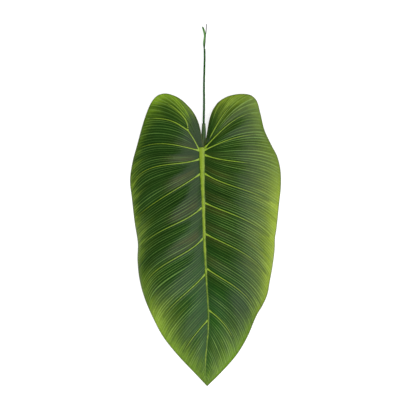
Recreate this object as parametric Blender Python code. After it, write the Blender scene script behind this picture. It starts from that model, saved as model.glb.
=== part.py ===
"""Artificial banana leaf: a printed fabric blade on a moulded back spine, with a taped wire stem.

It lies face up on a surface. Metres, +Z up, stem towards +Y, tip towards -Y. The origin is under the
middle of the part's box, on the surface. Values below are millimetres until MM turns them into metres.
"""

import math

import bmesh
import bpy
import numpy as np
from mathutils import Matrix, Vector

MM = 0.001

# Blade
BLADE_THICKNESS = 0.7
MIDRIB_CROWN = 0.8
VEIN_HEIGHT = 0.45
VEIN_HALF_WIDTH = 0.9
VEIN_FADE = 0.85
PLEAT_HEIGHT = 2.2
PLEAT_SHARE = 0.07
RIM_DROOP = 0.45
RIM_BLEND = 1.6
RIM_BLEND_REACH = 6.0
ROW_SPACING = 9.0
COLUMNS = 10
CENTRE_POINTS = 40
NOTCH = (-2.2, 69.6)
TIP = (2.0, -217.4)

# Rim of the blade, from the end of the notch's edge to the tip
RIM = {
    "left": [
        (-18.0, 116.0), (-27.6, 125.4), (-37.2, 131.1), (-48.0, 133.8), (-57.2, 131.6), (-63.8, 125.0),
        (-69.5, 113.6), (-76.0, 94.4), (-81.9, 72.8), (-87.7, 51.2), (-90.6, 30.0), (-88.4, 8.0),
        (-85.1, -20.8), (-81.2, -46.0), (-81.6, -65.8), (-79.2, -88.6), (-73.3, -110.8), (-62.6, -136.0),
        (-51.0, -157.6), (-34.0, -179.2), (-13.7, -200.8), TIP,
    ],
    "right": [
        (9.7, 116.0), (15.1, 123.2), (25.0, 129.6), (35.4, 132.6), (46.0, 133.3), (54.8, 131.6),
        (61.2, 125.4), (65.8, 110.4), (70.6, 90.8), (78.8, 72.8), (86.2, 58.4), (90.0, 42.0),
        (90.5, 22.4), (88.3, 0.8), (85.3, -28.0), (83.4, -40.0), (83.2, -51.0), (80.8, -71.2),
        (76.9, -92.8), (74.2, -107.2), (67.8, -121.4), (62.8, -129.4), (59.4, -136.4), (50.5, -157.6),
        (37.7, -179.2), (18.8, -200.8), TIP,
    ],
}

# Midrib: x, y and half width of the raised band, from its blunt top to the tip
MIDRIB = [
    (-4.2, 69.0, 3.2), (-4.1, 58.0, 3.3), (-3.9, 45.0, 2.9), (-3.6, 30.0, 2.6), (-2.8, 10.0, 2.2),
    (-2.1, -15.0, 1.9), (-1.2, -44.0, 1.7), (0.4, -73.0, 1.3), (1.3, -93.0, 1.0), (2.7, -112.0, 0.9),
    (3.6, -131.0, 0.85), (3.2, -152.0, 0.75), (0.4, -180.0, 0.6), (-0.4, -200.0, 0.5),
]
# Height of the midrib's edge above the surface, by y
MIDRIB_HEIGHT = [
    (-217.4, 0.7), (-200.0, 1.9), (-160.0, 4.2), (-100.0, 6.4), (-30.0, 7.4), (30.0, 7.2), (69.6, 6.9),
]

# Lateral veins: root, two points along the vein, rim, then the rim's height, the blade's camber, and
# where along it the raised rib starts (2 for a row without a rib). The first row is the notch's own
# edge. The last one closes the side at the tip.
VEINS = {
    "left": [
        (NOTCH, (-5.2, 86.4), (-9.3, 101.5), (-18.0, 116.0), 8.8, 0.0, 2),
        ((-4.4, 69.3), (-9.8, 88.8), (-16.8, 107.8), (-30.0, 127.0), 9.6, 1.0, 2),
        ((-5.8, 69.2), (-14.2, 91.4), (-26.0, 112.6), (-47.0, 133.8), 8.8, 2.4, 2),
        ((-6.7, 69.1), (-17.4, 93.4), (-33.8, 114.0), (-61.0, 128.0), 6.8, 3.6, 0.4),
        ((-7.4, 68.8), (-22.2, 90.2), (-46.4, 102.2), (-73.4, 102.6), 4.4, 5.0, 0),
        ((-7.6, 65.4), (-32.4, 71.2), (-58.2, 73.4), (-83.4, 66.0), 2.4, 6.6, 0),
        ((-7.1, 55.2), (-37.4, 49.4), (-67.6, 43.4), (-89.0, 21.8), 0.9, 7.8, 0),
        ((-6.4, 37.4), (-33.4, 20.0), (-61.2, 2.6), (-85.9, -17.0), 0.7, 8.2, 0),
        ((-4.6, -3.0), (-31.0, -20.2), (-59.2, -34.4), (-81.6, -55.4), 2.6, 8.0, 0),
        ((-3.2, -39.8), (-29.8, -60.0), (-59.2, -78.6), (-75.0, -105.8), 3.4, 7.0, 0),
        ((-0.9, -82.6), (-21.4, -103.4), (-42.6, -123.6), (-57.2, -147.4), 2.2, 5.2, 0),
        ((2.4, -138.2), (-10.0, -152.2), (-21.4, -167.6), (-30.0, -183.4), 1.5, 2.6, 0),
        ((1.0, -169.0), (-3.0, -179.8), (-7.4, -191.0), (-12.2, -202.4), 1.0, 0.8, 2),
        ((-1.0, -199.0), (-2.5, -202.2), (-4.1, -205.4), (-5.8, -208.9), 0.8, 0.2, 2),
        (TIP, TIP, TIP, TIP, 0.7, 0.0, 2),
    ],
    "right": [
        (NOTCH, (1.5, 85.6), (4.2, 101.0), (9.7, 116.0), 8.6, 0.0, 2),
        ((-1.8, 69.2), (5.4, 88.4), (12.6, 107.4), (25.0, 129.6), 9.4, 1.0, 2),
        ((-1.5, 69.1), (11.4, 92.0), (26.8, 115.6), (48.0, 133.2), 8.2, 2.6, 0.2),
        ((-1.0, 68.7), (18.2, 88.4), (40.2, 104.8), (66.0, 110.4), 4.6, 4.4, 0),
        ((-0.8, 66.0), (22.8, 76.4), (47.8, 83.2), (73.6, 82.6), 2.8, 6.0, 0),
        ((-0.8, 60.2), (30.2, 53.0), (61.4, 48.2), (90.2, 35.0), 1.5, 7.4, 0),
        ((-0.9, 38.0), (28.2, 24.4), (59.4, 13.4), (87.6, -3.6), 0.7, 8.2, 0),
        ((-0.3, 2.6), (29.8, -9.8), (59.4, -24.0), (83.7, -45.6), 1.4, 8.0, 0),
        ((0.4, -34.4), (29.2, -48.6), (57.2, -65.6), (77.4, -91.0), 3.4, 7.2, 0),
        ((1.6, -76.2), (25.0, -90.8), (47.4, -108.0), (61.8, -132.6), 3.2, 5.8, 0),
        ((4.3, -126.2), (19.4, -139.2), (31.6, -157.0), (37.8, -179.0), 1.6, 3.2, 0),
        ((3.4, -159.4), (9.6, -172.6), (15.0, -187.0), (18.6, -201.0), 1.0, 1.0, 2),
        (TIP, TIP, TIP, TIP, 0.7, 0.0, 2),
    ],
}

# Moulded back spine: x, y, half width, height over its centre and depth under it
GLUE_GAP = 0.35
SOCKET_AXIS_Z = 2.3
SOCKET_RADIUS = 2.75
SOCKET_MOUTH_RADIUS = 2.05
SOCKET_BORE_RADIUS = 1.7
SOCKET_MOUTH_Y = 98.0
SOCKET_FULL_Y = 88.0
SOCKET_FLAT_END_Y = 62.0
SOCKET_BLIND_Y = 60.0
SPINE_CROWN = 0.12
SPINE_UNDER_BLADE = [
    (-4.0, 46.0, 2.5, 4.6), (-3.6, 30.0, 2.3, 3.7), (-2.8, 10.0, 2.0, 3.0), (-2.1, -15.0, 1.7, 2.5),
    (-1.2, -44.0, 1.5, 2.2), (0.4, -73.0, 1.3, 1.9), (1.3, -93.0, 1.15, 1.7), (2.7, -112.0, 1.0, 1.5),
    (3.6, -131.0, 0.9, 1.3), (3.2, -152.0, 0.8, 1.1), (1.6, -170.0, 0.7, 0.9),
]
SECTION_ARC_POINTS = 12
RIB_HALF_WIDTH = 0.8
RIB_DEPTH = 1.0
RIB_STEP_DOWN = 0.3
RIB_COLUMNS = 7

# Taped wire stem: x, y and height of its axis
STEM_AXIS = [
    (-3.1, 61.4, 2.3), (-2.8, 68.0, 2.3), (-2.3, 78.0, 2.3), (-2.1, 88.0, 2.3), (-2.1, 101.0, 2.3),
    (-1.7, 121.0, 2.2), (-1.8, 144.0, 1.9), (-1.3, 165.0, 1.6), (-1.0, 178.0, 1.4), (-1.2, 188.0, 1.3),
]
WIRE_END = [(-0.5, 194.0, 1.4), (-0.1, 201.0, 1.7), (0.7, 209.0, 1.9), (1.3, 217.4, 1.8)]
WIRE_RADIUS = 0.5
WIRE_SIDES = 8
TAPE_RADIUS = 1.3
TAPE_END_RADIUS = 1.15
TAPE_BORE_RADIUS = 0.85
TAPE_SIDES = 10
TAPE_START_Y = 62.6
STEM_STEP = 5.0
# Loose tail of the tape: x, y, height, half width and half thickness
TAPE_TAIL = [
    (-2.6, 192.0, 1.5, 0.8, 0.24), (-2.5, 196.0, 1.7, 0.85, 0.24), (-2.0, 201.0, 1.8, 0.9, 0.24),
    (-1.9, 205.0, 1.9, 0.85, 0.24), (-2.3, 209.0, 1.8, 0.75, 0.22), (-3.3, 213.6, 1.6, 0.35, 0.18),
]

# Colours and finish: base colour, roughness, metallic
MATERIALS = {
    "leaf_blade": ((0.09, 0.19, 0.04), 0.45, 0.0),
    "back_spine": ((0.17, 0.30, 0.07), 0.5, 0.0),
    "stem_tape": ((0.06, 0.16, 0.06), 0.7, 0.0),
    "stem_wire": ((0.45, 0.46, 0.48), 0.35, 1.0),
}


def smooth_line(points, per_span=12):
    """A centripetal Catmull-Rom curve through the points, as a dense polyline."""
    inner = np.array(points, float)
    knots = np.vstack([2 * inner[0] - inner[1], inner, 2 * inner[-1] - inner[-2]])
    spans = []
    for p0, p1, p2, p3 in zip(knots, knots[1:], knots[2:], knots[3:]):
        t0 = 0.0
        t1 = t0 + math.sqrt(np.linalg.norm(p1 - p0))
        t2 = t1 + math.sqrt(np.linalg.norm(p2 - p1))
        t3 = t2 + math.sqrt(np.linalg.norm(p3 - p2))
        t = np.linspace(t1, t2, per_span, endpoint=False)[:, None]
        a1 = (t1 - t) / (t1 - t0) * p0 + (t - t0) / (t1 - t0) * p1
        a2 = (t2 - t) / (t2 - t1) * p1 + (t - t1) / (t2 - t1) * p2
        a3 = (t3 - t) / (t3 - t2) * p2 + (t - t2) / (t3 - t2) * p3
        b1 = (t2 - t) / (t2 - t0) * a1 + (t - t0) / (t2 - t0) * a2
        b2 = (t3 - t) / (t3 - t1) * a2 + (t - t1) / (t3 - t1) * a3
        spans.append((t2 - t) / (t2 - t1) * b1 + (t - t1) / (t2 - t1) * b2)
    return np.vstack([*spans, inner[-1:]])


def even_curve(rows, per_span=24):
    """Rows of values, first column rising, joined smoothly with no overshoot between them."""
    rows = np.array(rows, float)
    gap = np.diff(rows[:, :1], axis=0)
    slope = np.diff(rows[:, 1:], axis=0) / gap
    ahead, behind = slope[1:], slope[:-1]
    same_way = ahead * behind > 0
    meeting = 2 * ahead * behind / np.where(same_way, ahead + behind, 1.0)
    bend = np.vstack([slope[:1], np.where(same_way, meeting, 0.0), slope[-1:]])
    s = np.linspace(0, 1, per_span, endpoint=False)[:, None, None]
    low, high = rows[None, :-1, 1:], rows[None, 1:, 1:]
    spans = (
        low * (1 + 2 * s) * (1 - s) ** 2 + high * s * s * (3 - 2 * s)
        + gap[None] * (bend[None, :-1] * s * (1 - s) ** 2 + bend[None, 1:] * s * s * (s - 1))
    )
    places = rows[:-1, 0] + s[:, :, 0] * gap[:, 0]
    inner = np.concatenate([places[:, :, None], spans], axis=2).transpose(1, 0, 2)
    return np.vstack([inner.reshape(-1, rows.shape[1]), rows[-1:]])


MIDRIB_PROFILE = even_curve(MIDRIB_HEIGHT)


class Rail:
    """A line of points, read by the distance along it."""

    def __init__(self, points):
        self.points = np.array(points, float)
        steps = np.linalg.norm(np.diff(self.points, axis=0), axis=1)
        self.run = np.concatenate([[0.0], np.cumsum(steps)])

    def at(self, distance):
        return np.array([np.interp(distance, self.run, column) for column in self.points.T])

    def distance(self, point):
        """How far the point is from the line."""
        starts, spans = self.points[:-1], np.diff(self.points, axis=0)
        share = ((point - starts) * spans).sum(1) / (spans * spans).sum(1)
        feet = starts + spans * np.clip(share, 0.0, 1.0)[:, None]
        return float(np.linalg.norm(feet - point, axis=1).min())

    def nearest(self, point):
        """The distance along the rail of its point nearest to this one."""
        dense = np.linspace(0.0, self.run[-1], 4000)
        places = np.column_stack([np.interp(dense, self.run, column) for column in self.points.T])
        return dense[np.argmin(np.linalg.norm(places - np.array(point), axis=1))]


def midrib_at(y):
    """x and half width of the midrib's band at this y."""
    rows = np.array([*MIDRIB, (*TIP, 0.0)])[::-1]
    return np.interp(y, rows[:, 1], rows[:, 0]), np.interp(y, rows[:, 1], rows[:, 2])


def midrib_height(y):
    """Height of the midrib's edge at this y."""
    return float(np.interp(y, *MIDRIB_PROFILE.T))


class Side:
    """One half of the blade: a family of veins from the midrib's edge to the rim.

    A place on it is k, which counts the lateral veins from the notch to the tip, and t, from 0 at the
    midrib to 1 at the rim.
    """

    def __init__(self, name):
        sign = -1.0 if name == "left" else 1.0
        edge = [(x + sign * half, y) for x, y, half in MIDRIB]
        self.root = Rail([NOTCH, *edge, TIP])
        self.rim = Rail(smooth_line(RIM[name]))
        self.veins = VEINS[name]
        self.last = len(self.veins) - 1
        root_run = [self.root.nearest(v[0]) for v in self.veins]
        rim_run = [self.rim.nearest(v[3]) for v in self.veins]
        self.family = even_curve([
            (k, root_run[k], *v[1], *v[2], rim_run[k], v[4], v[5]) for k, v in enumerate(self.veins)
        ])

    def row(self, k):
        """Root run, the two inner points, rim run, rim height and camber of the vein at k."""
        return [np.interp(k, self.family[:, 0], column) for column in self.family.T[1:]]

    def point(self, k, t):
        """x and y at (k, t): a cubic through the vein's root, its two inner points and its rim."""
        root_run, ax, ay, bx, by, rim_run, _, _ = self.row(k)
        knots = (self.root.at(root_run), np.array((ax, ay)), np.array((bx, by)), self.rim.at(rim_run))
        weights = (
            (1 - 3 * t) * (2 - 3 * t) * (1 - t) / 2,
            9 * t * (2 - 3 * t) * (1 - t) / 2,
            9 * t * (3 * t - 1) * (1 - t) / 2,
            t * (3 * t - 1) * (3 * t - 2) / 2,
        )
        return sum(w * p for w, p in zip(weights, knots))

    def height(self, k, t):
        """Height of the blade's face at (k, t), without the raised veins."""
        row = self.row(k)
        root_height = midrib_height(self.root.at(row[0])[1])
        rim_height, camber = row[6], row[7]
        slope = (1 - t) * root_height + t * rim_height
        arch = camber * 4 * t * (1 - t)
        between = min(math.floor(k), self.last - 1)
        gap = np.linalg.norm(self.point(between + 1, t) - self.point(between, t))
        pleat = min(PLEAT_SHARE * gap, PLEAT_HEIGHT) * min(camber / 5.0, 1.0) if k > 1 else 0.0
        rise = min(t / 0.35, 1.0)
        pleat *= math.sin(math.pi * k) ** 2 * rise * (2 - rise) * (1 - 0.6 * t)
        free = slope + arch + pleat
        inward = self.rim.distance(self.point(k, t))
        droop = rim_height + RIM_DROOP * inward
        blend = RIM_BLEND * min(inward / RIM_BLEND_REACH, 1.0) + 1e-6
        eased = max(blend - abs(free - droop), 0.0) ** 2 / (4 * blend)
        return max(min(free, droop) - eased, BLADE_THICKNESS)

    def vein_half_width(self, t):
        return VEIN_HALF_WIDTH * (1 - 0.6 * t)

    def spacing(self, k, step, t):
        """Distance from vein k to the next place one step along the family, at t."""
        return np.linalg.norm(self.point(k + step, t) - self.point(k, t)) / abs(step)

    def rows(self):
        """The net's rows, each as a function of t that gives k, with where its rib starts."""
        made = []
        for k in range(self.last + 1):
            rib_start = self.veins[k][6]
            for way in (-1, 0, 1):
                if way == 0:
                    made.append((lambda t, k=k: k, rib_start))
                elif rib_start < 1:
                    made.append((lambda t, k=k, way=way: self.beside(k, way, t), 2))
            if k < self.last:
                rim_gap = np.linalg.norm(self.point(k + 1, 1.0) - self.point(k, 1.0))
                middle_gap = np.linalg.norm(self.point(k + 1, 0.6) - self.point(k, 0.6))
                count = max(2, round(max(middle_gap, 0.8 * rim_gap) / ROW_SPACING))
                for i in range(1, count):
                    made.append((lambda t, k=k, share=i / count: k + share, 2))
        return made

    def beside(self, k, way, t):
        """The k of a vein's foot: as far beside the ridge as the vein is half wide there."""
        step = 0.1 * way
        share = self.vein_half_width(t) / max(self.spacing(k, step, t), 1e-6)
        return k + way * min(share, 0.22)


def closed_pairs(loop):
    return zip(loop, loop[1:] + loop[:1])


def new_object(name, bm, smooth_angle=math.radians(40)):
    mesh = bpy.data.meshes.new(name)
    bm.to_mesh(mesh)
    bm.free()
    mesh.shade_smooth()
    mesh.set_sharp_from_angle(angle=smooth_angle)
    thing = bpy.data.objects.new(name, mesh)
    bpy.context.scene.collection.objects.link(thing)
    return thing


def paint(thing, name):
    colour, roughness, metallic = MATERIALS[name]
    material = bpy.data.materials.new(name)
    material.use_nodes = True
    shader = material.node_tree.nodes["Principled BSDF"]
    shader.inputs["Base Color"].default_value = (*colour, 1.0)
    shader.inputs["Roughness"].default_value = roughness
    shader.inputs["Metallic"].default_value = metallic
    thing.data.materials.append(material)


class Net:
    """The blade's net of triangles, seen from above, with a face height at each point."""

    def __init__(self):
        self.points = []
        self.heights = []
        self.triangles = []

    def add(self, point, height):
        self.points.append(tuple(point))
        self.heights.append(height)
        return len(self.points) - 1

    def triangle(self, a, b, c):
        """Adds a triangle that faces up, unless two of its corners are one."""
        if len({a, b, c}) < 3:
            return
        (ax, ay), (bx, by), (cx, cy) = (self.points[i] for i in (a, b, c))
        turn = (bx - ax) * (cy - ay) - (by - ay) * (cx - ax)
        self.triangles.append((a, b, c) if turn > 0 else (a, c, b))

    def zip(self, first, second):
        """Fills the strip between two lines of points that both run from the notch to the tip."""
        i = j = 0
        while i < len(first) - 1 or j < len(second) - 1:
            next_first = self.points[first[i + 1]][1] if i < len(first) - 1 else -math.inf
            next_second = self.points[second[j + 1]][1] if j < len(second) - 1 else -math.inf
            if next_first >= next_second:
                self.triangle(first[i], first[i + 1], second[j])
                i += 1
            else:
                self.triangle(first[i], second[j + 1], second[j])
                j += 1


def blade_side(net, side, notch, tip):
    """Adds one side's grid to the net. Returns the points of its root line and of its outline."""
    grid = []
    rows = side.rows()
    for k_at, rib_start in rows[:-1]:
        line = []
        for column in range(COLUMNS + 1):
            t = column / COLUMNS
            k = k_at(t)
            if k == 0 and t == 0:
                line.append(notch)
                continue
            raised = rib_start < t < VEIN_FADE
            rib_height = VEIN_HEIGHT * (1 - t) * min(1.0, 4 * t) if raised else 0.0
            line.append(net.add(side.point(k, t), side.height(k, t) + rib_height))
        grid.append(line)
    grid.append([tip] * (COLUMNS + 1))
    for lower, upper in zip(grid, grid[1:]):
        for column in range(COLUMNS):
            net.triangle(lower[column], upper[column], upper[column + 1])
            net.triangle(lower[column], upper[column + 1], lower[column + 1])
    return [line[0] for line in grid], grid[0][:-1] + [line[-1] for line in grid]


def blade_net():
    net = Net()
    notch = net.add(NOTCH, midrib_height(NOTCH[1]))
    tip = net.add(TIP, midrib_height(TIP[1]))
    left_root, left_rim = blade_side(net, Side("left"), notch, tip)
    right_root, right_rim = blade_side(net, Side("right"), notch, tip)
    centre = [notch]
    for y in np.linspace(MIDRIB[0][1], MIDRIB[-1][1], CENTRE_POINTS):
        x, half = midrib_at(y)
        crown = MIDRIB_CROWN * min(1.0, half / 2.0)
        centre.append(net.add((x, y), midrib_height(y) + crown))
    centre.append(tip)
    net.zip(left_root, centre)
    net.zip(centre, right_root)
    rim = left_rim + right_rim[-2:0:-1]
    crown_points = set(centre[1:-1])
    return net, rim, crown_points


def make_blade():
    """The fabric blade: the same net of triangles on both faces, joined round the rim."""
    net, rim, crown_points = blade_net()
    under = []
    for index, (x, y) in enumerate(net.points):
        flat = midrib_height(y) if index in crown_points else net.heights[index]
        under.append((x, y, flat - BLADE_THICKNESS))
    bm = bmesh.new()
    top = [bm.verts.new((x * MM, y * MM, z * MM)) for (x, y), z in zip(net.points, net.heights)]
    bottom = [bm.verts.new((x * MM, y * MM, max(z, 0.0) * MM)) for x, y, z in under]
    for a, b, c in net.triangles:
        bm.faces.new((top[a], top[b], top[c]))
        bm.faces.new((bottom[c], bottom[b], bottom[a]))
    for a, b in closed_pairs(rim):
        bm.faces.new((top[b], top[a], bottom[a]))
        bm.faces.new((top[b], bottom[a], bottom[b]))
    bmesh.ops.recalc_face_normals(bm, faces=bm.faces)
    return new_object("leaf_blade", bm)


def loft(sections):
    """A closed mesh through rings of points, each ring with the same number of points."""
    bm = bmesh.new()
    rings = [[bm.verts.new(tuple(c * MM for c in p)) for p in ring] for ring in sections]
    for ring, following in zip(rings, rings[1:]):
        for (a, b), (c, d) in zip(closed_pairs(ring), closed_pairs(following)):
            bm.faces.new((a, b, d, c))
    bm.faces.new(rings[0])
    bm.faces.new(rings[-1])
    bmesh.ops.triangulate(bm, faces=bm.faces)
    bmesh.ops.recalc_face_normals(bm, faces=bm.faces)
    return bm


def spine_section(x, y, half_width, rise, depth, centre_z):
    """A round-topped, flat-bottomed section across the spine."""
    flat_angle = math.asin(SOCKET_AXIS_Z / SOCKET_RADIUS)
    ring = []
    for angle in np.linspace(-flat_angle, math.pi + flat_angle, SECTION_ARC_POINTS):
        across = half_width * math.cos(angle)
        up = (rise if angle > 0 and math.sin(angle) > 0 else depth) * math.sin(angle)
        ring.append((x + across, y, centre_z + up))
    return ring


def stem_axis_x(y):
    rows = np.array(STEM_AXIS)
    return float(np.interp(y, rows[:, 1], rows[:, 0]))


def spine_body():
    """The spine's own length: the socket for the stem, then the rib under the midrib."""
    mouth, full, flat_end = SOCKET_MOUTH_RADIUS, SOCKET_RADIUS, SOCKET_FLAT_END_Y
    sections = []
    for y, radius in ((SOCKET_MOUTH_Y, mouth), (SOCKET_FULL_Y + 5.0, 2.4), (SOCKET_FULL_Y, full),
                      (76.0, full), (flat_end, full)):
        sections.append(spine_section(stem_axis_x(y), y, radius, radius, radius, SOCKET_AXIS_Z))
    for x, y, half, depth in SPINE_UNDER_BLADE:
        top = midrib_height(y) - BLADE_THICKNESS - GLUE_GAP - SPINE_CROWN
        sections.append(spine_section(x, y, half, SPINE_CROWN, depth, top))
    body = new_object("back_spine", loft(sections))
    bore = []
    for y in (SOCKET_MOUTH_Y + 3.0, SOCKET_MOUTH_Y, SOCKET_FULL_Y, 78.0, 68.0, SOCKET_BLIND_Y):
        bore.append([
            (stem_axis_x(y) + SOCKET_BORE_RADIUS * math.cos(a), y,
             SOCKET_AXIS_Z + SOCKET_BORE_RADIUS * math.sin(a))
            for a in np.linspace(0, 2 * math.pi, 12, endpoint=False)
        ])
    cutter = new_object("socket_bore_cutter", loft(bore))
    boolean(body, "DIFFERENCE", cutter)
    return body


def rib(side, k):
    """A side rib under one vein: from inside the spine out under RIB_COLUMNS of the blade's columns."""
    root = side.point(k, 0.0)
    centre_x, _ = midrib_at(min(root[1], MIDRIB[0][1] - 4.0))
    start = np.array((centre_x, min(root[1], MIDRIB[0][1] - 4.0)))
    stations = [(start, midrib_height(start[1]), 0.0)]
    for column in range(RIB_COLUMNS + 1):
        t = column / COLUMNS
        stations.append((side.point(k, t), side.height(k, t), t / RIB_COLUMNS * COLUMNS))
    sections = []
    for index, (place, height, reach) in enumerate(stations):
        before = stations[max(index - 1, 0)][0]
        after = stations[min(index + 1, len(stations) - 1)][0]
        ahead = (after - before) / np.linalg.norm(after - before)
        across = np.array((-ahead[1], ahead[0]))
        half = RIB_HALF_WIDTH * (1 - 0.55 * reach)
        depth = RIB_DEPTH * (1 - 0.4 * reach)
        top = height - BLADE_THICKNESS - GLUE_GAP - RIB_STEP_DOWN * max(0.0, 1 - index / 2)
        left, right = place + across * half, place - across * half
        inner_left, inner_right = place + across * half * 0.55, place - across * half * 0.55
        sections.append([
            (*left, top), (*inner_left, top - depth), (*inner_right, top - depth), (*right, top),
        ])
    return new_object("side_rib", loft(sections))


def boolean(thing, operation, other=None, collection=None):
    """Applies a Boolean to the object and removes what it was made with."""
    modifier = thing.modifiers.new("boolean", "BOOLEAN")
    modifier.operation = operation
    modifier.solver = "EXACT"
    if collection:
        modifier.operand_type = "COLLECTION"
        modifier.collection = collection
    else:
        modifier.object = other
    bpy.context.view_layer.update()
    evaluated = thing.evaluated_get(bpy.context.evaluated_depsgraph_get())
    mesh = bpy.data.meshes.new_from_object(evaluated)
    thing.modifiers.remove(modifier)
    thing.data = mesh
    for used in list(collection.objects) if collection else [other]:
        bpy.data.objects.remove(used)
    if collection:
        bpy.data.collections.remove(collection)


def make_spine():
    body = spine_body()
    ribs = bpy.data.collections.new("side_ribs")
    bpy.context.scene.collection.children.link(ribs)
    for name in ("left", "right"):
        side = Side(name)
        for k, vein in enumerate(side.veins):
            if vein[6] < 1:
                piece = rib(side, k)
                bpy.context.scene.collection.objects.unlink(piece)
                ribs.objects.link(piece)
    boolean(body, "UNION", collection=ribs)
    return body


def ring_around(place, ahead, radius, sides, turn=0.0):
    """A ring of points square to the direction ahead, starting at its +X side."""
    ahead = ahead / np.linalg.norm(ahead)
    up = np.array((0.0, 0.0, 1.0))
    across = np.cross(ahead, up)
    across /= np.linalg.norm(across)
    up = np.cross(across, ahead)
    angles = turn + np.arange(sides) * 2 * math.pi / sides
    return [place + radius * (math.cos(a) * across + math.sin(a) * up) for a in angles]


def rings_along(points, radii, sides, turn=0.0):
    directions = np.gradient(points, axis=0)
    return [ring_around(p, d, r, sides, turn) for p, d, r in zip(points, directions, radii)]


def make_wire():
    """The bare wire: its whole length, from inside the socket to the end past the tape."""
    line = Rail(smooth_line(STEM_AXIS + WIRE_END))
    points = np.array([line.at(d) for d in np.linspace(0, line.run[-1], round(line.run[-1] / STEM_STEP))])
    return new_object("stem_wire", loft(rings_along(points, [WIRE_RADIUS] * len(points), WIRE_SIDES)))


def make_tape():
    """The tape: a tube wound round the wire, whose last turn comes loose as a tail."""
    line = Rail(smooth_line(STEM_AXIS))
    start = line.nearest((*line.points[0][:1], TAPE_START_Y, line.points[0][2]))
    stops = np.linspace(start, line.run[-1], round((line.run[-1] - start) / STEM_STEP))
    points = np.array([line.at(d) for d in stops])
    turn = math.pi / TAPE_SIDES
    outer_radii = np.interp(points[:, 1], (120.0, 180.0), (TAPE_RADIUS, TAPE_END_RADIUS))
    outer = rings_along(points, outer_radii, TAPE_SIDES, turn)
    inner = rings_along(points, [TAPE_BORE_RADIUS] * len(points), TAPE_SIDES, turn)
    bm = bmesh.new()

    def put(rings):
        return [[bm.verts.new(tuple(c * MM for c in p)) for p in ring] for ring in rings]

    outer, inner = put(outer), put(inner)
    for rings in (outer, inner):
        for ring, following in zip(rings, rings[1:]):
            for (a, b), (c, d) in zip(closed_pairs(ring), closed_pairs(following)):
                bm.faces.new((a, b, d, c))
    for (a, b), (c, d) in zip(closed_pairs(outer[0]), closed_pairs(inner[0])):
        bm.faces.new((a, b, d, c))
    # The tail grows from three of the end's faces, on the stem's left
    tail_sides = {TAPE_SIDES // 2 - 2, TAPE_SIDES // 2 - 1, TAPE_SIDES // 2}
    for index, ((a, b), (c, d)) in enumerate(zip(closed_pairs(outer[-1]), closed_pairs(inner[-1]))):
        if index not in tail_sides:
            bm.faces.new((a, b, d, c))
    first = min(tail_sides)
    count = len(tail_sides) + 1
    base = outer[-1][first:first + count] + inner[-1][first:first + count][::-1]
    sections = [base]
    for x, y, z, half, thick in TAPE_TAIL:
        # Down the outside of the strip, which faces left, then back along its inside
        spread = np.linspace(1, -1, count)
        section = [(x - thick, y, z + s * half) for s in spread] + [
            (x + thick, y, z + s * half) for s in spread[::-1]
        ]
        sections.append([bm.verts.new(tuple(c * MM for c in p)) for p in section])
    for ring, following in zip(sections, sections[1:]):
        for (a, b), (c, d) in zip(closed_pairs(ring), closed_pairs(following)):
            bm.faces.new((a, b, d, c))
    bm.faces.new(sections[-1])
    bmesh.ops.triangulate(bm, faces=bm.faces)
    bmesh.ops.recalc_face_normals(bm, faces=bm.faces)
    return new_object("stem_tape", bm)


def stand_on_origin(things):
    """Moves everything so that the middle of the whole box's underside is the origin."""
    corners = np.array([v.co for thing in things for v in thing.data.vertices])
    low, high = corners.min(0), corners.max(0)
    shift = Vector(((low[0] + high[0]) / -2, (low[1] + high[1]) / -2, -low[2]))
    for thing in things:
        thing.data.transform(Matrix.Translation(shift))


def main():
    for thing in list(bpy.data.objects):
        bpy.data.objects.remove(thing)
    things = [make() for make in (make_blade, make_spine, make_tape, make_wire)]
    for thing in things:
        paint(thing, thing.name)
    stand_on_origin(things)


main()
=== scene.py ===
"""Looks of the artificial banana leaf: printed and embossed fabric blade, taped wire stem, studio.

Places and sizes are millimetres until MM turns them into metres. The outline, veins and stem repeat
the values in part.py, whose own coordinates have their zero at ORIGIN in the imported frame.
"""

import math

import bpy
import numpy as np
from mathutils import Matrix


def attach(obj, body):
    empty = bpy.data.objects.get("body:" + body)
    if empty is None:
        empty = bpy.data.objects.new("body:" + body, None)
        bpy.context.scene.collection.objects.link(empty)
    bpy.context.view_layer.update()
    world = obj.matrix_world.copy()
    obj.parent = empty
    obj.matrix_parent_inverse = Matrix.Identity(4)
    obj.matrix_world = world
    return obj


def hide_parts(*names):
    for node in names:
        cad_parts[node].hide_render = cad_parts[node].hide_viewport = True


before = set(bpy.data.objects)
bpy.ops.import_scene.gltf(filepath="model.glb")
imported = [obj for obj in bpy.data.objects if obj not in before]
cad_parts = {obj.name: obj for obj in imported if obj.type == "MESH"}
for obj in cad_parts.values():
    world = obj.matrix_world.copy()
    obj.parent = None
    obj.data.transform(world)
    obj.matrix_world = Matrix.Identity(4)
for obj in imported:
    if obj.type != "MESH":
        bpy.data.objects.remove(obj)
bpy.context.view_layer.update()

MM = 0.001
ORIGIN = (-0.040, -0.017)

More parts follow.
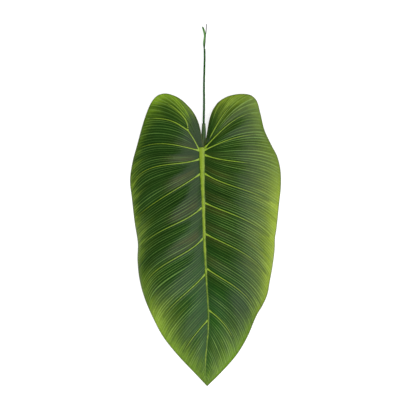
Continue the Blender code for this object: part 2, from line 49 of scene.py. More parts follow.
# Blade, as in part.py
BLADE_THICKNESS = 0.7
MIDRIB_CROWN = 0.8
CROWN_FULL_HALF_WIDTH = 2.0
PLEAT_HEIGHT = 2.2
PLEAT_SHARE = 0.07
PLEAT_RISE = 0.35
PLEAT_FULL_CAMBER = 5.0
PLEAT_LOSS = 0.6
RIM_DROOP = 0.45
RIM_BLEND = 1.6
RIM_BLEND_REACH = 6.0
NOTCH = (-2.2, 69.6)
TIP = (2.0, -217.4)
RIM = {
    "left": [
        (-18.0, 116.0), (-27.6, 125.4), (-37.2, 131.1), (-48.0, 133.8), (-57.2, 131.6), (-63.8, 125.0),
        (-69.5, 113.6), (-76.0, 94.4), (-81.9, 72.8), (-87.7, 51.2), (-90.6, 30.0), (-88.4, 8.0),
        (-85.1, -20.8), (-81.2, -46.0), (-81.6, -65.8), (-79.2, -88.6), (-73.3, -110.8), (-62.6, -136.0),
        (-51.0, -157.6), (-34.0, -179.2), (-13.7, -200.8), TIP,
    ],
    "right": [
        (9.7, 116.0), (15.1, 123.2), (25.0, 129.6), (35.4, 132.6), (46.0, 133.3), (54.8, 131.6),
        (61.2, 125.4), (65.8, 110.4), (70.6, 90.8), (78.8, 72.8), (86.2, 58.4), (90.0, 42.0),
        (90.5, 22.4), (88.3, 0.8), (85.3, -28.0), (83.4, -40.0), (83.2, -51.0), (80.8, -71.2),
        (76.9, -92.8), (74.2, -107.2), (67.8, -121.4), (62.8, -129.4), (59.4, -136.4), (50.5, -157.6),
        (37.7, -179.2), (18.8, -200.8), TIP,
    ],
}
MIDRIB = [
    (-4.2, 69.0, 3.2), (-4.1, 58.0, 3.3), (-3.9, 45.0, 2.9), (-3.6, 30.0, 2.6), (-2.8, 10.0, 2.2),
    (-2.1, -15.0, 1.9), (-1.2, -44.0, 1.7), (0.4, -73.0, 1.3), (1.3, -93.0, 1.0), (2.7, -112.0, 0.9),
    (3.6, -131.0, 0.85), (3.2, -152.0, 0.75), (0.4, -180.0, 0.6), (-0.4, -200.0, 0.5),
]
MIDRIB_HEIGHT = [
    (-217.4, 0.7), (-200.0, 1.9), (-160.0, 4.2), (-100.0, 6.4), (-30.0, 7.4), (30.0, 7.2), (69.6, 6.9),
]
# Lateral veins: root, two points along the vein, rim, the rim's height and the blade's camber
VEINS = {
    "left": [
        (NOTCH, (-5.2, 86.4), (-9.3, 101.5), (-18.0, 116.0), 8.8, 0.0),
        ((-4.4, 69.3), (-9.8, 88.8), (-16.8, 107.8), (-30.0, 127.0), 9.6, 1.0),
        ((-5.8, 69.2), (-14.2, 91.4), (-26.0, 112.6), (-47.0, 133.8), 8.8, 2.4),
        ((-6.7, 69.1), (-17.4, 93.4), (-33.8, 114.0), (-61.0, 128.0), 6.8, 3.6),
        ((-7.4, 68.8), (-22.2, 90.2), (-46.4, 102.2), (-73.4, 102.6), 4.4, 5.0),
        ((-7.6, 65.4), (-32.4, 71.2), (-58.2, 73.4), (-83.4, 66.0), 2.4, 6.6),
        ((-7.1, 55.2), (-37.4, 49.4), (-67.6, 43.4), (-89.0, 21.8), 0.9, 7.8),
        ((-6.4, 37.4), (-33.4, 20.0), (-61.2, 2.6), (-85.9, -17.0), 0.7, 8.2),
        ((-4.6, -3.0), (-31.0, -20.2), (-59.2, -34.4), (-81.6, -55.4), 2.6, 8.0),
        ((-3.2, -39.8), (-29.8, -60.0), (-59.2, -78.6), (-75.0, -105.8), 3.4, 7.0),
        ((-0.9, -82.6), (-21.4, -103.4), (-42.6, -123.6), (-57.2, -147.4), 2.2, 5.2),
        ((2.4, -138.2), (-10.0, -152.2), (-21.4, -167.6), (-30.0, -183.4), 1.5, 2.6),
        ((1.0, -169.0), (-3.0, -179.8), (-7.4, -191.0), (-12.2, -202.4), 1.0, 0.8),
        ((-1.0, -199.0), (-2.5, -202.2), (-4.1, -205.4), (-5.8, -208.9), 0.8, 0.2),
        (TIP, TIP, TIP, TIP, 0.7, 0.0),
    ],
    "right": [
        (NOTCH, (1.5, 85.6), (4.2, 101.0), (9.7, 116.0), 8.6, 0.0),
        ((-1.8, 69.2), (5.4, 88.4), (12.6, 107.4), (25.0, 129.6), 9.4, 1.0),
        ((-1.5, 69.1), (11.4, 92.0), (26.8, 115.6), (48.0, 133.2), 8.2, 2.6),
        ((-1.0, 68.7), (18.2, 88.4), (40.2, 104.8), (66.0, 110.4), 4.6, 4.4),
        ((-0.8, 66.0), (22.8, 76.4), (47.8, 83.2), (73.6, 82.6), 2.8, 6.0),
        ((-0.8, 60.2), (30.2, 53.0), (61.4, 48.2), (90.2, 35.0), 1.5, 7.4),
        ((-0.9, 38.0), (28.2, 24.4), (59.4, 13.4), (87.6, -3.6), 0.7, 8.2),
        ((-0.3, 2.6), (29.8, -9.8), (59.4, -24.0), (83.7, -45.6), 1.4, 8.0),
        ((0.4, -34.4), (29.2, -48.6), (57.2, -65.6), (77.4, -91.0), 3.4, 7.2),
        ((1.6, -76.2), (25.0, -90.8), (47.4, -108.0), (61.8, -132.6), 3.2, 5.8),
        ((4.3, -126.2), (19.4, -139.2), (31.6, -157.0), (37.8, -179.0), 1.6, 3.2),
        ((3.4, -159.4), (9.6, -172.6), (15.0, -187.0), (18.6, -201.0), 1.0, 1.0),
        (TIP, TIP, TIP, TIP, 0.7, 0.0),
    ],
}

# Detail of the visible blade. The fine veins are counted at one share of the way from midrib to rim
FINE_VEIN_PITCH = 3.1
FINE_VEIN_COUNT_AT = 0.6
ROWS_PER_FINE_VEIN = 4
BLADE_COLUMNS = 34
BAND_STATIONS = 220
BAND_LINES = (-0.62, 0.0, 0.62)
FINE_VEIN_RELIEF = 0.07
FINE_VEIN_START = 0.12
FINE_VEIN_RIM_GAP = 4.0
RIB_RELIEF = 0.42
RIB_RELIEF_WIDTH = 0.8
EDGE_THINNING = 0.35
EDGE_THINNING_REACH = 3.0
WEAVE_PITCH = 0.42

# Raised and printed main veins: side, number in VEINS, where along it the vein starts and fades out
MAIN_VEINS = [
    ("left", 5, 0.0, 0.99), ("left", 6, 0.0, 0.97), ("left", 7, 0.0, 0.96), ("left", 8, 0.0, 0.95),
    ("left", 9, 0.0, 0.96), ("left", 10, 0.0, 0.85), ("left", 11, 0.0, 0.88),
    ("right", 2, 0.1, 0.74), ("right", 3, 0.0, 0.88), ("right", 4, 0.0, 0.84), ("right", 5, 0.0, 0.6),
    ("right", 6, 0.0, 0.88), ("right", 7, 0.0, 0.92), ("right", 8, 0.0, 0.92), ("right", 9, 0.0, 0.92),
    ("right", 10, 0.0, 0.74),
]
# The left lobe's main vein forks: its places from root to rim, and what share of the way out each spans
FORK = 0.3
LEFT_LOBE_VEINS = [
    ([(-6.6, 65.6), (-8.5, 68.4), (-14.3, 79.2), (-20.8, 89.2)], 0.0, FORK),
    ([
        (-20.8, 89.2), (-28.6, 94.4), (-36.1, 98.8), (-44.8, 102.1), (-53.5, 103.6), (-62.2, 104.2),
        (-69.5, 104.3),
    ], FORK, 0.98),
    ([
        (-20.8, 89.2), (-21.6, 96.0), (-23.8, 101.8), (-28.8, 108.4), (-34.6, 114.1), (-40.0, 118.4),
        (-47.5, 122.0),
    ], FORK, 0.92),
]
# Half width of a printed main vein, how soon it narrows, and how it ends, flares at its root or starts late
RIB_PRINT_ROOT = 0.6
RIB_PRINT_END = 0.28
RIB_TAPER = 1.3
RIB_FADE = 0.16
RIB_FADE_NARROWING = 0.32
RIB_CUT = 0.025
RIB_CUT_NARROWING = 1.6
ROOT_FLARE = 0.65
ROOT_FLARE_REACH = 0.08
FORK_WIDENING = 0.25
LATE_START_NARROWING = 1.2
LATE_START_REACH = 0.12
# Stands for a distance with no main vein near
FAR = 99.0
# The number of the right half's first fine vein, so that no two fine veins share one
RIGHT_FINE_VEINS = 500.0
# Only divides the light margin's place on the midrib, which has no such margin
MIDRIB_MARGIN_WIDTH = 10.0

# The print's light margin: place among the veins, width in mm, strength, and warmth from green to yellow
MARGIN = {
    "left": [
        (0, 7, 0.42, 0.5), (1, 8, 0.42, 0.3), (2, 10, 0.92, 0.2), (3, 12, 0.88, 0.2), (4, 12, 0.36, 0.1),
        (5, 5, 0.22, 0.2), (6, 8, 0.5, 0.35), (6.8, 5, 0.4, 0.35), (7.5, 11, 0.52, 0.4), (8, 9, 0.44, 0.3),
        (8.6, 6, 0.3, 0.2), (9, 18, 0.48, 0.2), (9.35, 11, 0.42, 0.2), (9.65, 17, 0.8, 0.45),
        (9.95, 20, 0.96, 0.35), (10.5, 17, 0.8, 0.2), (11, 17, 0.68, 0.15), (12, 18, 0.6, 0.1),
        (14, 14, 0.56, 0.2),
    ],
    "right": [
        (0, 6, 0.3, 0.5), (1, 8, 0.55, 0.6), (2, 15, 0.7, 0.5), (3, 17, 0.44, 0.4), (4, 18, 0.34, 0.4),
        (5, 24, 0.58, 0.6), (6, 21, 0.94, 0.7), (7, 19, 0.88, 0.7), (8, 20, 0.76, 0.7), (8.8, 15, 0.6, 0.5),
        (9.2, 10, 0.46, 0.2), (9.8, 16, 0.6, 0.05), (10.3, 21, 0.74, 0.0), (11, 18, 0.68, 0.05),
        (12, 14, 0.56, 0.1),
    ],
}

# Taped wire stem: its line and radii are as in part.py, the laps and wrinkles are added
STEM_AXIS = [
    (-3.1, 61.4, 2.3), (-2.8, 68.0, 2.3), (-2.3, 78.0, 2.3), (-2.1, 88.0, 2.3), (-2.1, 101.0, 2.3),
    (-1.7, 121.0, 2.2), (-1.8, 144.0, 1.9), (-1.3, 165.0, 1.6), (-1.0, 178.0, 1.4), (-1.2, 188.0, 1.3),
]
WIRE_END = [(-0.5, 194.0, 1.4), (-0.1, 201.0, 1.7), (0.7, 209.0, 1.9), (1.3, 217.4, 1.8)]
WIRE_RADIUS = 0.5
WIRE_SIDES = 16
WIRE_STEP = 1.5
WIRE_END_ROUNDING = 0.15
WIRE_END_RADIUS = 0.35
TAPE_RADIUS = 1.3
TAPE_END_RADIUS = 1.15
TAPE_START_Y = 62.6
TAPE_SIDES = 28
TAPE_STEP = 0.5
TAPE_WRAP_PITCH = 8.6
TAPE_LAP = 0.11
TAPE_LAP_EDGE = 0.07
TAPE_WRINKLE = 0.02
TAPE_NARROWS_BETWEEN = (120.0, 180.0)
# The tape's loose tail: x, y, height, half width and twist in degrees from lying flat
TAPE_TAIL = [
    (-1.3, 186.0, 1.9, 0.8, 35), (-1.6, 189.0, 2.1, 0.95, 25), (-1.9, 192.5, 2.3, 1.0, 15),
    (-1.9, 196.0, 2.4, 1.0, 5), (-1.3, 199.8, 2.5, 1.0, -5), (-0.9, 203.2, 2.6, 1.05, 0),
    (-1.3, 207.0, 2.5, 1.25, 5), (-2.4, 210.9, 2.3, 1.25, 10), (-3.5, 214.2, 2.1, 0.9, 15),
]
TAIL_HALF_THICKNESS = 0.14
TAIL_SIDES = 12

# Studio
CAMERA_PLACE = (2.96, -3.38, 2775.0)
CAMERA_LENS = 200.0
# The light panels, all facing down: height, left, right, front and back edge, and radiance
SOFTBOXES = {
    "softbox_right": (6000.0, 260.0, 7200.0, -3800.0, 420.0, 4.0),
    "softbox_right_back": (6000.0, 1500.0, 7200.0, 420.0, 3500.0, 4.0),
    "softbox_front": (900.0, -930.0, 50.0, -930.0, -295.0, 1.7),
}
# The surround: radiance of its band and overhead, the share left low down, and angles from straight up
SKY_RADIANCE = 6.1
SKY_OVERHEAD_RADIANCE = 0.04
SKY_HORIZON_SHARE = 0.17
SKY_HORIZON_ANGLES = (81.0, 72.0)
SKY_DARK_ANGLE = 55.0
SKY_BRIGHT_ANGLE = 68.0
FLOOR_SIZE = 12000.0
FLOOR_GLOW = 0.75
FLOOR_SHADES = (0.24, 0.26)
FLOOR_DROP = 0.2
# How much brighter than its own colour a flat matte surface looks in this light
EXPOSURE = 2.15

# Points measured in one go, and the steps in which a line is searched
POINTS_AT_ONCE = 4000
SEARCH_STEPS = 4000


def smooth_line(points, per_span=12):
    """A centripetal Catmull-Rom curve through the points, as a dense polyline."""
    inner = np.array(points, float)
    knots = np.vstack([2 * inner[0] - inner[1], inner, 2 * inner[-1] - inner[-2]])
    spans = []
    for p0, p1, p2, p3 in zip(knots, knots[1:], knots[2:], knots[3:]):
        t0 = 0.0
        t1 = t0 + math.sqrt(np.linalg.norm(p1 - p0))
        t2 = t1 + math.sqrt(np.linalg.norm(p2 - p1))
        t3 = t2 + math.sqrt(np.linalg.norm(p3 - p2))
        t = np.linspace(t1, t2, per_span, endpoint=False)[:, None]
        a1 = (t1 - t) / (t1 - t0) * p0 + (t - t0) / (t1 - t0) * p1
        a2 = (t2 - t) / (t2 - t1) * p1 + (t - t1) / (t2 - t1) * p2
        a3 = (t3 - t) / (t3 - t2) * p2 + (t - t2) / (t3 - t2) * p3
        b1 = (t2 - t) / (t2 - t0) * a1 + (t - t0) / (t2 - t0) * a2
        b2 = (t3 - t) / (t3 - t1) * a2 + (t - t1) / (t3 - t1) * a3
        spans.append((t2 - t) / (t2 - t1) * b1 + (t - t1) / (t2 - t1) * b2)
    return np.vstack([*spans, inner[-1:]])


def even_curve(rows, per_span=24):
    """Rows of values, first column rising, joined smoothly with no overshoot between them."""
    rows = np.array(rows, float)
    gap = np.diff(rows[:, :1], axis=0)
    slope = np.diff(rows[:, 1:], axis=0) / gap
    ahead, behind = slope[1:], slope[:-1]
    same_way = ahead * behind > 0
    meeting = 2 * ahead * behind / np.where(same_way, ahead + behind, 1.0)
    bend = np.vstack([slope[:1], np.where(same_way, meeting, 0.0), slope[-1:]])
    s = np.linspace(0, 1, per_span, endpoint=False)[:, None, None]
    low, high = rows[None, :-1, 1:], rows[None, 1:, 1:]
    spans = (
        low * (1 + 2 * s) * (1 - s) ** 2 + high * s * s * (3 - 2 * s)
        + gap[None] * (bend[None, :-1] * s * (1 - s) ** 2 + bend[None, 1:] * s * s * (s - 1))
    )
    places = rows[:-1, 0] + s[:, :, 0] * gap[:, 0]
    inner = np.concatenate([places[:, :, None], spans], axis=2).transpose(1, 0, 2)
    return np.vstack([inner.reshape(-1, rows.shape[1]), rows[-1:]])


def ease(value, low, high):
    """0 below low, 1 above high, smooth between."""
    s = np.clip((value - low) / (high - low), 0.0, 1.0)
    return s * s * (3 - 2 * s)


def distance_to_line(points, line):
    """Distance from each point to the polyline, and how far along the line its nearest point is."""
    starts, spans = line[:-1], np.diff(line, axis=0)
    squares = np.maximum((spans * spans).sum(1), 1e-12)
    run = np.concatenate([[0.0], np.cumsum(np.sqrt(squares))])
    flat = points.reshape(-1, 2)
    nearest, along = [], []
    for block in np.array_split(flat, max(1, len(flat) // POINTS_AT_ONCE)):
        offset = block[:, None] - starts[None]
        share = np.clip((offset * spans).sum(2) / squares, 0.0, 1.0)
        gaps = np.linalg.norm(offset - share[:, :, None] * spans, axis=2)
        best = gaps.argmin(1)
        rows = np.arange(len(block))
        nearest.append(gaps[rows, best])
        along.append((run[best] + share[rows, best] * np.sqrt(squares[best])) / run[-1])
    shape = points.shape[:-1]
    return np.concatenate(nearest).reshape(shape), np.concatenate(along).reshape(shape)


class Rail:
    """A line of points, read by the distance along it."""

    def __init__(self, points):
        self.points = np.array(points, float)
        steps = np.linalg.norm(np.diff(self.points, axis=0), axis=1)
        self.run = np.concatenate([[0.0], np.cumsum(steps)])

    def at(self, distance):
        return np.stack([np.interp(distance, self.run, column) for column in self.points.T], axis=-1)

    def nearest(self, point):
        dense = np.linspace(0.0, self.run[-1], SEARCH_STEPS)
        return dense[np.argmin(np.linalg.norm(self.at(dense) - np.array(point), axis=1))]


MIDRIB_PROFILE = even_curve(MIDRIB_HEIGHT)


def midrib_height(y):
    return np.interp(y, *MIDRIB_PROFILE.T)


def midrib_at(y):
    """x and half width of the midrib's band at this y."""
    rows = np.array([*MIDRIB, (*TIP, 0.0)])[::-1]
    return np.interp(y, rows[:, 1], rows[:, 0]), np.interp(y, rows[:, 1], rows[:, 2])


class Side:
    """One half of the blade, as in part.py: k counts its veins, t runs from the midrib to the rim."""

    def __init__(self, name):
        self.name = name
        sign = -1.0 if name == "left" else 1.0
        edge = [(x + sign * half, y) for x, y, half in MIDRIB]
        self.root = Rail([NOTCH, *edge, TIP])
        self.rim = Rail(smooth_line(RIM[name]))
        veins = VEINS[name]
        self.last = len(veins) - 1
        self.family = even_curve([
            (k, self.root.nearest(v[0]), *v[1], *v[2], self.rim.nearest(v[3]), v[4], v[5])
            for k, v in enumerate(veins)
        ])
        middle = self.points(np.arange(self.last + 1.0), np.array([FINE_VEIN_COUNT_AT]))[:, 0]
        gaps = np.linalg.norm(np.diff(middle, axis=0), axis=1)
        counts = np.maximum(2, np.round(gaps / FINE_VEIN_PITCH))
        self.fine_number = np.concatenate([[0.0], np.cumsum(counts)])

    def values(self, k):
        return [np.interp(k, self.family[:, 0], column) for column in self.family.T[1:]]

    def points(self, k, t):
        """x and y over the whole grid of k by t: a cubic through root, two inner points and rim."""
        root_run, ax, ay, bx, by, rim_run, _, _ = self.values(k)
        knots = (
            self.root.at(root_run), np.stack([ax, ay], 1), np.stack([bx, by], 1), self.rim.at(rim_run),
        )
        weights = (
            (1 - 3 * t) * (2 - 3 * t) * (1 - t) / 2,
            9 * t * (2 - 3 * t) * (1 - t) / 2,
            9 * t * (3 * t - 1) * (1 - t) / 2,
            t * (3 * t - 1) * (3 * t - 2) / 2,
        )
        return sum(w[None, :, None] * p[:, None, :] for w, p in zip(weights, knots))

    def heights(self, k, t, places):
        """Height of the face over the grid, without the raised veins."""
        root_run, _, _, _, _, _, rim_height, camber = (v[:, None] for v in self.values(k))
        root_height = midrib_height(self.root.at(root_run[:, 0])[:, 1])[:, None]
        slope = (1 - t) * root_height + t * rim_height
        arch = camber * 4 * t * (1 - t)
        mains = self.points(np.arange(self.last + 1.0), t)
        gaps = np.linalg.norm(np.diff(mains, axis=0), axis=2)
        gap = gaps[np.minimum(np.floor(k).astype(int), self.last - 1)]
        rise = np.minimum(t / PLEAT_RISE, 1.0)
        pleat = np.minimum(PLEAT_SHARE * gap, PLEAT_HEIGHT) * np.minimum(camber / PLEAT_FULL_CAMBER, 1.0)
        pleat = pleat * np.where(k > 1, np.sin(math.pi * k) ** 2, 0.0)[:, None]
        pleat = pleat * rise * (2 - rise) * (1 - PLEAT_LOSS * t)
        free = slope + arch + pleat
        inward, _ = distance_to_line(places, self.rim.points)
        droop = rim_height + RIM_DROOP * inward
        blend = RIM_BLEND * np.minimum(inward / RIM_BLEND_REACH, 1.0) + 1e-6
        eased = np.maximum(blend - abs(free - droop), 0.0) ** 2 / (4 * blend)
        return np.maximum(np.minimum(free, droop) - eased, BLADE_THICKNESS)


def fine_pitch(places, fine):
    """Distance across the veins from one fine vein to the next, at each place of the grid."""
    along_k = np.gradient(places, fine, axis=0)
    along_t = np.gradient(places, axis=1)
    area = abs(along_k[:, :, 0] * along_t[:, :, 1] - along_k[:, :, 1] * along_t[:, :, 0])
    return area / np.maximum(np.linalg.norm(along_t, axis=2), 1e-6)


def main_vein_lines(side):
    """Each main vein of this side as a polyline, with where it starts and ends."""
    lines = []
    for name, number, start, end in MAIN_VEINS:
        if name == side.name:
            line = side.points(np.array([float(number)]), np.linspace(start, end, 60))[0]
            lines.append((line, start, end))
    if side.name == "left":
        for places, start, end in LEFT_LOBE_VEINS:
            lines.append((smooth_line(places), start, end))
    return lines


def rib_edge_distance(places, side):
    """Distance from the nearest main vein, and from the edge of its print, which is below 0 inside."""
    beside = np.full(places.shape[:2], FAR)
    outside = np.full(places.shape[:2], FAR)
    for line, start, end in main_vein_lines(side):
        gap, along = distance_to_line(places, line)
        reach = start + (end - start) * along
        half = RIB_PRINT_ROOT + (RIB_PRINT_END - RIB_PRINT_ROOT) * np.minimum(reach * RIB_TAPER, 1.0)
        if end > FORK:
            half = half - RIB_FADE_NARROWING * ease(reach, end - RIB_FADE, end)
            half = half - RIB_CUT_NARROWING * ease(reach, end - RIB_CUT, end)
        half = half + ROOT_FLARE * (1 - ease(reach, 0.0, ROOT_FLARE_REACH))
        if start >= FORK:
            half = half + FORK_WIDENING
        if 0.0 < start < FORK:
            half = half - LATE_START_NARROWING * (1 - ease(reach, start, start + LATE_START_REACH))
        outside = np.minimum(outside, gap - half)
        beside = np.minimum(beside, gap)
    return beside, outside


def brown_tint(side, k, t):
    """Share of brown beside the main veins: on the left before the next vein, on the right past it."""
    past = k % 1.0
    if side.name == "left":
        tint = 0.85 * ease(past, 0.45, 0.7) * (1 - ease(past, 0.86, 1.0))
        tint = tint * ease(t, 0.02, 0.12) * (1 - ease(t, 0.3, 0.62))
    else:
        tint = 0.7 * (1 - ease(past, 0.1, 0.34)) * (1 - ease(t, 0.16, 0.42))
        tint = tint + 0.6 * ease(past, 0.5, 0.65) * (1 - ease(past, 0.75, 0.95)) * (1 - ease(t, 0.2, 0.5))
    return tint * ease(k, 4.2, 5.4) * (1 - ease(k, 8.9, 9.8))


def blade_grid(side, whole_rim):
    """Places, heights and print values over one side of the blade."""
    total = side.fine_number[-1]
    fine = np.linspace(0.0, total, round(total * ROWS_PER_FINE_VEIN) + 1)
    k = np.interp(fine, side.fine_number, np.arange(side.last + 1.0))
    t = np.linspace(0.0, 1.0, BLADE_COLUMNS + 1)
    places = side.points(k, t)
    base = side.heights(k, t, places)
    pitch = fine_pitch(places, fine)
    rim, _ = distance_to_line(places, whole_rim)
    beside, outside = rib_edge_distance(places, side)
    table = np.array(MARGIN[side.name], float)
    width, strength, warmth = (
        np.repeat(np.interp(k, table[:, 0], column)[:, None], len(t), axis=1)
        for column in table.T[1:]
    )
    ripple = FINE_VEIN_RELIEF * (0.5 + 0.5 * np.cos(2 * math.pi * fine))[:, None]
    ripple = ripple * np.minimum(pitch / FINE_VEIN_PITCH, 1.0) * ease(t, 0.0, FINE_VEIN_START)
    ripple = ripple * ease(rim, 0.0, FINE_VEIN_RIM_GAP)
    ridge = RIB_RELIEF * np.exp(-(beside / RIB_RELIEF_WIDTH) ** 2) * ease(t, -0.02, 0.1) * (1 - t)
    thinned = EDGE_THINNING * (1 - ease(rim, 0.0, EDGE_THINNING_REACH))
    shape = places.shape[:2]
    values = {
        "vein": np.broadcast_to(fine[:, None] + (RIGHT_FINE_VEINS if side.name == "right" else 0.0), shape),
        "vein_pitch": pitch,
        "reach": np.broadcast_to(t, shape),
        "rim": rim,
        "inset": distance_to_line(places, side.rim.points)[0],
        "rib": outside,
        "band": distance_to_line(places, side.root.points)[0],
        "family": np.broadcast_to(k[:, None], shape),
        "brown": brown_tint(side, k[:, None], t),
        "margin_width": width,
        "margin_light": strength,
        "margin_warm": warmth,
    }
    return places, base + ripple + ridge - thinned, base + ripple - BLADE_THICKNESS, values


class Net:
    """Points of the blade with their face and back heights, print values and triangles."""

    def __init__(self):
        self.places, self.tops, self.backs, self.values, self.triangles = [], [], [], [], []
        self.count = 0

    def add(self, places, tops, backs, values):
        """Adds points and returns their numbers in the shape they came in."""
        shape = tops.shape
        first = self.count
        self.count += tops.size
        self.places.append(places.reshape(-1, 2))
        self.tops.append(tops.ravel())
        self.backs.append(backs.ravel())
        self.values.append({name: np.broadcast_to(v, shape).ravel() for name, v in values.items()})
        return first + np.arange(tops.size).reshape(shape)

    def grid(self, numbers):
        """Two triangles for each cell of a grid of point numbers."""
        a, b, c, d = numbers[:-1, :-1], numbers[1:, :-1], numbers[1:, 1:], numbers[:-1, 1:]
        for corners in ((a, b, c), (a, c, d)):
            self.triangles.append(np.stack(corners, axis=-1).reshape(-1, 3))

    def zip(self, first, second, height_of):
        """Fills the strip between two lines of points that both run from the notch to the tip.

        The line whose second point is lower takes the first step, so no face lies flat along the other.
        """
        made = []
        i = int(height_of[first[1]] < height_of[second[1]])
        j = int(height_of[second[1]] < height_of[first[1]])
        while i < len(first) - 1 or j < len(second) - 1:
            next_first = height_of[first[i + 1]] if i < len(first) - 1 else -math.inf
            next_second = height_of[second[j + 1]] if j < len(second) - 1 else -math.inf
            if next_first >= next_second:
                made.append((first[i], first[i + 1], second[j]))
                i += 1
            else:
                made.append((first[i], second[j + 1], second[j]))
                j += 1
        self.triangles.append(np.array(made))

    def faces(self):
        """All triangles, facing up, without those that use a point twice."""
        places = np.concatenate(self.places)
        corners = np.concatenate(self.triangles)
        a, b, c = (places[corners[:, i]] for i in range(3))
        turn = (b[:, 0] - a[:, 0]) * (c[:, 1] - a[:, 1]) - (b[:, 1] - a[:, 1]) * (c[:, 0] - a[:, 0])
        distinct = (np.diff(np.sort(corners, axis=1), axis=1) > 0).all(axis=1)
        up = np.where((turn > 0)[:, None], corners, corners[:, ::-1])
        return up[distinct]

    def closed(self, rim):
        """Points, faces, the material of each face, and values: face, back and the cut edge between."""
        upper = self.faces()
        places, backs = np.concatenate(self.places), np.maximum(np.concatenate(self.backs), 0)
        count = len(places)
        following = np.roll(rim, -1)
        cut_edge = np.concatenate([
            np.stack([following, rim, rim + count], axis=1),
            np.stack([following, rim + count, following + count], axis=1),
        ])
        points = np.concatenate([
            np.column_stack([places, np.concatenate(self.tops)]), np.column_stack([places, backs]),
        ])
        faces = np.concatenate([upper, upper[:, ::-1] + count, cut_edge])
        kinds = (np.arange(len(faces)) >= len(upper)).astype(int)
        values = {
            name: np.tile(np.concatenate([part[name] for part in self.values]), 2)
            for name in self.values[0]
        }
        return points, faces, kinds, values


def midrib_lines(net, corners, whole_rim):
    """Adds the midrib's band and returns the point numbers of its lines, each from notch to tip."""
    lines = []
    stations = np.linspace(MIDRIB[0][1], MIDRIB[-1][1], BAND_STATIONS)
    centre, half = midrib_at(stations)
    edge = midrib_height(stations)
    for share in BAND_LINES:
        places = np.stack([centre + share * half, stations], axis=1)
        crown = MIDRIB_CROWN * np.minimum(1.0, half / CROWN_FULL_HALF_WIDTH) * (1 - share * share)
        band = dict.fromkeys(("vein", "reach", "margin_light", "margin_warm", "family", "brown"), 0.0)
        rim = distance_to_line(places, whole_rim)[0]
        band.update(band=-half * (1 - abs(share)), rib=FAR, rim=rim, inset=rim)
        band.update(vein_pitch=FINE_VEIN_PITCH, margin_width=MIDRIB_MARGIN_WIDTH)
        numbers = net.add(places, edge + crown, edge - BLADE_THICKNESS, band)
        lines.append([corners[0], *numbers, corners[1]])
    return lines


def make_object(name, points, faces, materials, values=None, face_materials=None, sharp_angle=50.0):
    """A smooth mesh object, with a number for each point under each value's name."""
    mesh = bpy.data.meshes.new(name)
    shifted = np.asarray(points, float) + np.array([*ORIGIN, 0.0])
    mesh.from_pydata((shifted * MM).tolist(), [], [list(map(int, f)) for f in faces])
    for material in materials:
        mesh.materials.append(material)
    if face_materials is not None:
        mesh.polygons.foreach_set("material_index", np.asarray(face_materials, np.int32))
    for value_name, numbers in (values or {}).items():
        layer = mesh.attributes.new(value_name, "FLOAT", "POINT")
        layer.data.foreach_set("value", np.asarray(numbers, np.float32))
    mesh.shade_smooth()
    mesh.set_sharp_from_angle(angle=math.radians(sharp_angle))
    thing = bpy.data.objects.new(name, mesh)
    bpy.context.scene.collection.objects.link(thing)
    return thing


def make_blade(face_material, back_material):
    """The fabric blade: embossed face, back and cut edge, with the print's values on its points."""
    sides = {name: Side(name) for name in ("left", "right")}
    edges = {
        name: side.points(np.array([0.0]), np.linspace(0, 1, 40))[0] for name, side in sides.items()
    }
    whole_rim = np.vstack([
        sides["left"].rim.points[::-1], edges["left"][::-1], edges["right"], sides["right"].rim.points,
    ])
    net = Net()
    outline, roots = [], {}
    corners = None
    for name, side in sides.items():
        places, tops, backs, values = blade_grid(side, whole_rim)
        numbers = net.add(places, tops, backs, values)
        if corners is None:
            corners = numbers[0, 0], numbers[-1, 0]
        numbers[0, 0], numbers[-1, :] = corners
        net.grid(numbers)
        roots[name] = numbers[:, 0]
        outline.append(np.concatenate([numbers[0, :-1], numbers[:, -1]]))
    strips = [roots["left"], *midrib_lines(net, corners, whole_rim), roots["right"]]
    y_of = np.concatenate(net.places)[:, 1]
    for first, second in zip(strips, strips[1:]):
        net.zip(first, second, y_of)
    points, faces, kinds, values = net.closed(np.concatenate([outline[0], outline[1][-2:0:-1]]))
    blade = make_object(
        "leaf_blade_fabric", points, faces, [face_material, back_material], values, kinds,
    )
    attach(blade, "root")
    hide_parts("leaf_blade")


def linear(colour):
    """The paint that shows as this sRGB colour, 0 to 255, in the studio's light."""
    share = np.array(colour) / 255.0
    light = np.where(share <= 0.04045, share / 12.92, ((share + 0.055) / 1.055) ** 2.4)
    return (*(light / EXPOSURE), 1.0)


